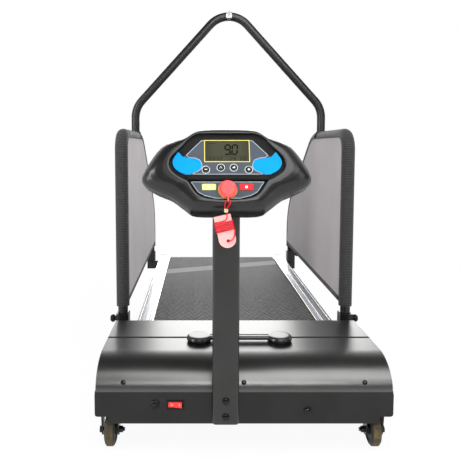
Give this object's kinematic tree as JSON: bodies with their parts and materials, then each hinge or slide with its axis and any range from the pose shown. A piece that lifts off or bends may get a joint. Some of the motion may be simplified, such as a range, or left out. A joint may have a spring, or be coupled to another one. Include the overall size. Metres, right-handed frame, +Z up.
{
  "type": "dog treadmill",
  "caption": "Small dog treadmill with fabric side panels, a leash arch over the belt, a console with safety key on a mast, and transport wheels.",
  "frame": {"origin": "on the floor, below the middle of the machine's length and width (the lanyard not counted)", "axes": "+X to the right as seen from the console, +Y from the console towards the open rear end, +Z up"},
  "size_m": [0.634, 1.2943, 1.0279],
  "materials": {
    "black_paint": "satin black powder coat",
    "charcoal_paint": "satin charcoal powder coat",
    "hood_black": "fine-grained black plastic",
    "black_plastic": "matt black plastic",
    "console_black": "satin black moulding",
    "slate_panel": "slate grey film",
    "blue_pad": "bright blue film",
    "lcd": "olive display",
    "start_green": "pale yellow-green",
    "red_plastic": "bright red",
    "key_red": "coral red",
    "ring_yellow": "yellow",
    "tag_pink": "pale red plastic",
    "red_cord": "red round cord",
    "crimp_beige": "dull brass",
    "panel_fabric": "grey stretched fabric",
    "belt_grey": "grey textured belt",
    "drive_rubber": "black rubber",
    "foot_rubber": "black rubber",
    "tyre_rubber": "brown-black tread",
    "rail_aluminium": "bright polished extrusion",
    "roller_steel": "turned steel",
    "bolt_steel": "zinc plated",
    "bolt_black": "black oxide",
    "eye_chrome": "polished",
    "deck_wood": "phenolic faced fibreboard",
    "motor_grey": "dark cast housing",
    "box_grey": "dark anodised"
  },
  "bodies": {
    "frame": {"front_tray": "black_paint", "side_beams": "black_paint", "cross_tubes": "black_paint", "rear_feet": "foot_rubber", "foot_rail_left": "rail_aluminium", "foot_rail_right": "rail_aluminium", "deck_board": "deck_wood", "deck_cushions": "foot_rubber", "running_belt": "belt_grey", "roller_axles": "bolt_steel", "motor": "motor_grey", "drive_belt": "drive_rubber", "controller_box": "box_grey", "hood": "hood_black", "hood_screws": "bolt_black", "carry_grip": "black_plastic", "end_caps": "black_plastic", "switch_housing": "black_plastic", "reset_bush": "black_plastic", "plate_bolts": "bolt_black", "caster_forks": "black_paint", "wheel_bolts": "bolt_steel", "mast": "charcoal_paint", "console_front": "console_black", "console_back": "console_black", "display_panel": "slate_panel", "control_panel": "slate_panel", "console_brow": "console_black", "lcd_glass": "lcd", "wave_pads": "blue_pad", "key_ring": "ring_yellow", "panel_frames": "charcoal_paint", "panel_cover_left": "panel_fabric", "panel_cover_right": "panel_fabric", "foot_brackets": "black_paint", "bracket_bolts": "bolt_steel"},
    "front_roller": {"front_roller": "roller_steel"},
    "rear_roller": {"rear_roller": "roller_steel"},
    "motor_shaft": {"motor_shaft": "roller_steel"},
    "wheel_left": {"wheel_left": "tyre_rubber"},
    "wheel_right": {"wheel_right": "tyre_rubber"},
    "rocker": {"rocker": "red_plastic"},
    "reset_button": {"reset_button": "black_plastic"},
    "button_minus": {"button_minus": "black_plastic"},
    "button_preset_left": {"button_preset_left": "black_plastic"},
    "button_preset_right": {"button_preset_right": "black_plastic"},
    "button_plus": {"button_plus": "black_plastic"},
    "button_start": {"button_start": "start_green"},
    "button_stop": {"button_stop": "red_plastic"},
    "safety_key": {"safety_key": "key_red", "lanyard_cord": "red_cord", "lanyard_crimp": "crimp_beige", "lanyard_winding": "red_cord", "winder_tag": "tag_pink"},
    "arch": {"arch_bar": "charcoal_paint", "leash_eye": "eye_chrome"},
    "knob_front_left": {"knob_front_left": "black_plastic"},
    "knob_front_right": {"knob_front_right": "black_plastic"},
    "knob_rear_left": {"knob_rear_left": "black_plastic"},
    "knob_rear_right": {"knob_rear_right": "black_plastic"}
  },
  "joints": [
    {"name": "front_roller_spin", "type": "hinge", "parent": "frame", "child": "front_roller", "pos_m": [0, -0.31825, 0.1577], "axis": [1, 0, 0], "continuous": true},
    {"name": "rear_roller_spin", "type": "hinge", "parent": "frame", "child": "rear_roller", "pos_m": [0, 0.56875, 0.1577], "axis": [1, 0, 0], "continuous": true},
    {"name": "motor_spin", "type": "hinge", "parent": "frame", "child": "motor_shaft", "pos_m": [0, -0.43725, 0.122], "axis": [1, 0, 0], "continuous": true},
    {"name": "wheel_left_spin", "type": "hinge", "parent": "frame", "child": "wheel_left", "pos_m": [-0.274, -0.50625, 0.033], "axis": [1, 0, 0], "continuous": true},
    {"name": "wheel_right_spin", "type": "hinge", "parent": "frame", "child": "wheel_right", "pos_m": [0.274, -0.50625, 0.033], "axis": [1, 0, 0], "continuous": true},
    {"name": "rocker_tip", "type": "hinge", "parent": "frame", "child": "rocker", "pos_m": [-0.137, -0.54825, 0.108], "axis": [0, 0, 1], "range_deg": [0, 16]},
    {"name": "reset_press", "type": "slide", "parent": "frame", "child": "reset_button", "axis": [0, 1, 0], "range_m": [0, 0.003], "stiffness_N_per_m": 400},
    {"name": "button_minus_press", "type": "slide", "parent": "frame", "child": "button_minus", "axis": [0, 0.9063, -0.4226], "range_m": [0, 0.0012], "stiffness_N_per_m": 600},
    {"name": "button_preset_left_press", "type": "slide", "parent": "frame", "child": "button_preset_left", "axis": [0, 0.9063, -0.4226], "range_m": [0, 0.0012], "stiffness_N_per_m": 600},
    {"name": "button_preset_right_press", "type": "slide", "parent": "frame", "child": "button_preset_right", "axis": [0, 0.9063, -0.4226], "range_m": [0, 0.0012], "stiffness_N_per_m": 600},
    {"name": "button_plus_press", "type": "slide", "parent": "frame", "child": "button_plus", "axis": [0, 0.9063, -0.4226], "range_m": [0, 0.0012], "stiffness_N_per_m": 600},
    {"name": "button_start_press", "type": "slide", "parent": "frame", "child": "button_start", "axis": [0, 0.9063, -0.4226], "range_m": [0, 0.0012], "stiffness_N_per_m": 600},
    {"name": "button_stop_press", "type": "slide", "parent": "frame", "child": "button_stop", "axis": [0, 0.9063, -0.4226], "range_m": [0, 0.0012], "stiffness_N_per_m": 600},
    {"name": "safety_key_pull", "type": "slide", "parent": "frame", "child": "safety_key", "axis": [0, -0.9063, 0.4226], "range_m": [0, 0.015]},
    {"name": "arch_lift", "type": "slide", "parent": "frame", "child": "arch", "axis": [0, 0, 1], "range_m": [0, 0.12]},
    {"name": "knob_front_left_turn", "type": "hinge", "parent": "frame", "child": "knob_front_left", "pos_m": [-0.31, -0.22925, 0.183], "axis": [1, 0, 0], "continuous": true},
    {"name": "knob_front_right_turn", "type": "hinge", "parent": "frame", "child": "knob_front_right", "pos_m": [0.31, -0.22925, 0.183], "axis": [1, 0, 0], "continuous": true},
    {"name": "knob_rear_left_turn", "type": "hinge", "parent": "frame", "child": "knob_rear_left", "pos_m": [-0.31, 0.62475, 0.183], "axis": [1, 0, 0], "continuous": true},
    {"name": "knob_rear_right_turn", "type": "hinge", "parent": "frame", "child": "knob_rear_right", "pos_m": [0.31, 0.62475, 0.183], "axis": [1, 0, 0], "continuous": true}
  ],
  "couplings": [
    {"joint": "rear_roller_spin", "follows": "front_roller_spin", "ratio": 1},
    {"joint": "motor_spin", "follows": "front_roller_spin", "ratio": 2}
  ]
}
